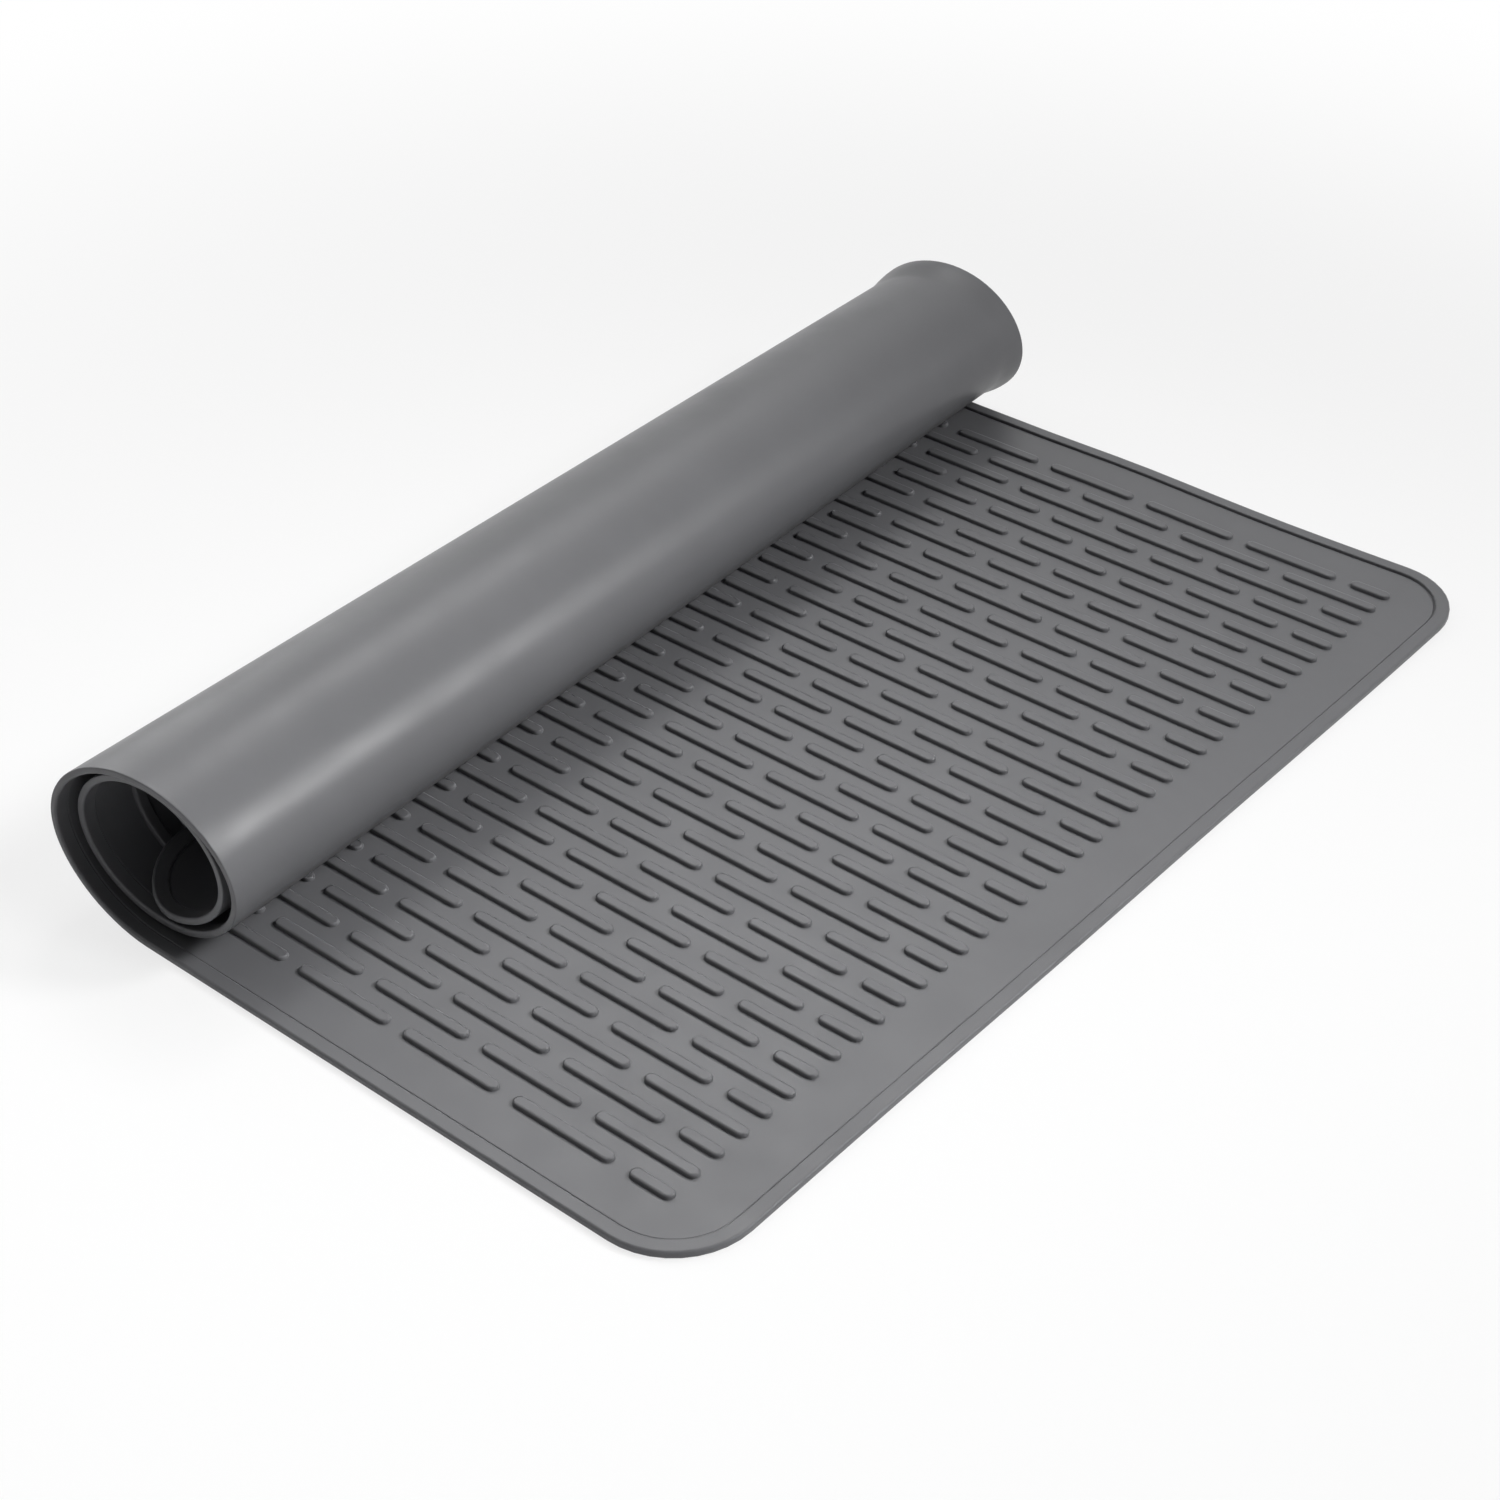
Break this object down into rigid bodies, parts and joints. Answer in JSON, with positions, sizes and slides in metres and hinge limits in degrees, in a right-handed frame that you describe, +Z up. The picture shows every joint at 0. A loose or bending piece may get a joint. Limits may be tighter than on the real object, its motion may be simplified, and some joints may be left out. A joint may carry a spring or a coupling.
{
  "type": "silicone stove top cover",
  "caption": "Flexible ribbed mat with a raised rim that covers a stove top, shown half rolled up. The roll opens by half a turn, one bend after the other.",
  "frame": {"origin": "centre of the base of the bounding box, on the table, with the mat half rolled", "axes": "+X towards the front edge, +Y along the roll, +Z up"},
  "size_m": [0.3212, 0.518, 0.0698],
  "materials": {
    "silicone": "satin"
  },
  "bodies": {
    "front_panel": {"front_panel": "silicone"},
    "outer_turn_01": {"outer_turn_01": "silicone"},
    "outer_turn_02": {"outer_turn_02": "silicone"},
    "outer_turn_03": {"outer_turn_03": "silicone"},
    "outer_turn_04": {"outer_turn_04": "silicone"},
    "outer_turn_05": {"outer_turn_05": "silicone"},
    "outer_turn_06": {"outer_turn_06": "silicone"},
    "outer_turn_07": {"outer_turn_07": "silicone"},
    "outer_turn_08": {"outer_turn_08": "silicone"},
    "outer_turn_09": {"outer_turn_09": "silicone"},
    "roll": {"outer_turn_10": "silicone", "outer_turn_11": "silicone", "outer_turn_12": "silicone", "outer_turn_13": "silicone", "outer_turn_14": "silicone", "outer_turn_15": "silicone", "outer_turn_16": "silicone", "outer_turn_17": "silicone", "outer_turn_18": "silicone", "outer_turn_19": "silicone", "inner_turn_01": "silicone", "inner_turn_02": "silicone", "inner_turn_03": "silicone", "inner_turn_04": "silicone", "inner_turn_05": "silicone", "inner_turn_06": "silicone", "inner_turn_07": "silicone", "inner_turn_08": "silicone", "inner_turn_09": "silicone", "inner_turn_10": "silicone", "inner_turn_11": "silicone", "inner_turn_12": "silicone", "inner_turn_13": "silicone", "inner_turn_14": "silicone", "inner_turn_15": "silicone", "inner_turn_16": "silicone", "inner_turn_17": "silicone", "inner_turn_18": "silicone", "inner_turn_19": "silicone", "inner_turn_20": "silicone", "inner_turn_21": "silicone", "roll_end": "silicone"}
  },
  "joints": [
    {"name": "unroll_01", "type": "hinge", "parent": "front_panel", "child": "outer_turn_01", "pos_m": [-0.09792, -0.25903, 0], "axis": [0.0559, -0.9984, 0], "range_deg": [0, 18.48]},
    {"name": "unroll_02", "type": "hinge", "parent": "outer_turn_01", "child": "outer_turn_02", "pos_m": [-0.11483, -0.25898, 0.00564], "axis": [0.0529, -0.9986, 0.001], "range_deg": [0, 18.48]},
    {"name": "unroll_03", "type": "hinge", "parent": "outer_turn_02", "child": "outer_turn_03", "pos_m": [-0.1267, -0.25881, 0.01456], "axis": [0.0508, -0.9987, 0.0026], "range_deg": [0, 18.48]},
    {"name": "unroll_04", "type": "hinge", "parent": "outer_turn_03", "child": "outer_turn_04", "pos_m": [-0.13316, -0.25855, 0.02389], "axis": [0.0497, -0.9988, 0.0042], "range_deg": [0, 18.48]},
    {"name": "unroll_05", "type": "hinge", "parent": "outer_turn_04", "child": "outer_turn_05", "pos_m": [-0.13559, -0.25821, 0.03227], "axis": [0.0493, -0.9988, 0.0057], "range_deg": [0, 18.48]},
    {"name": "unroll_06", "type": "hinge", "parent": "outer_turn_05", "child": "outer_turn_06", "pos_m": [-0.13528, -0.25778, 0.04019], "axis": [0.0493, -0.9988, 0.0071], "range_deg": [0, 18.48]},
    {"name": "unroll_07", "type": "hinge", "parent": "outer_turn_06", "child": "outer_turn_07", "pos_m": [-0.13204, -0.25715, 0.04875], "axis": [0.0499, -0.9987, 0.0086], "range_deg": [0, 18.48]},
    {"name": "unroll_08", "type": "hinge", "parent": "outer_turn_07", "child": "outer_turn_08", "pos_m": [-0.12456, -0.25617, 0.05791], "axis": [0.0512, -0.9986, 0.0102], "range_deg": [0, 18.48]},
    {"name": "unroll_09", "type": "hinge", "parent": "outer_turn_08", "child": "outer_turn_09", "pos_m": [-0.11206, -0.25484, 0.0658], "axis": [0.0534, -0.9985, 0.0116], "range_deg": [0, 18.48]},
    {"name": "unroll_10", "type": "hinge", "parent": "outer_turn_09", "child": "roll", "pos_m": [-0.09572, -0.25326, 0.06978], "axis": [0.0563, -0.9983, 0.0123], "range_deg": [0, 18.48]}
  ]
}
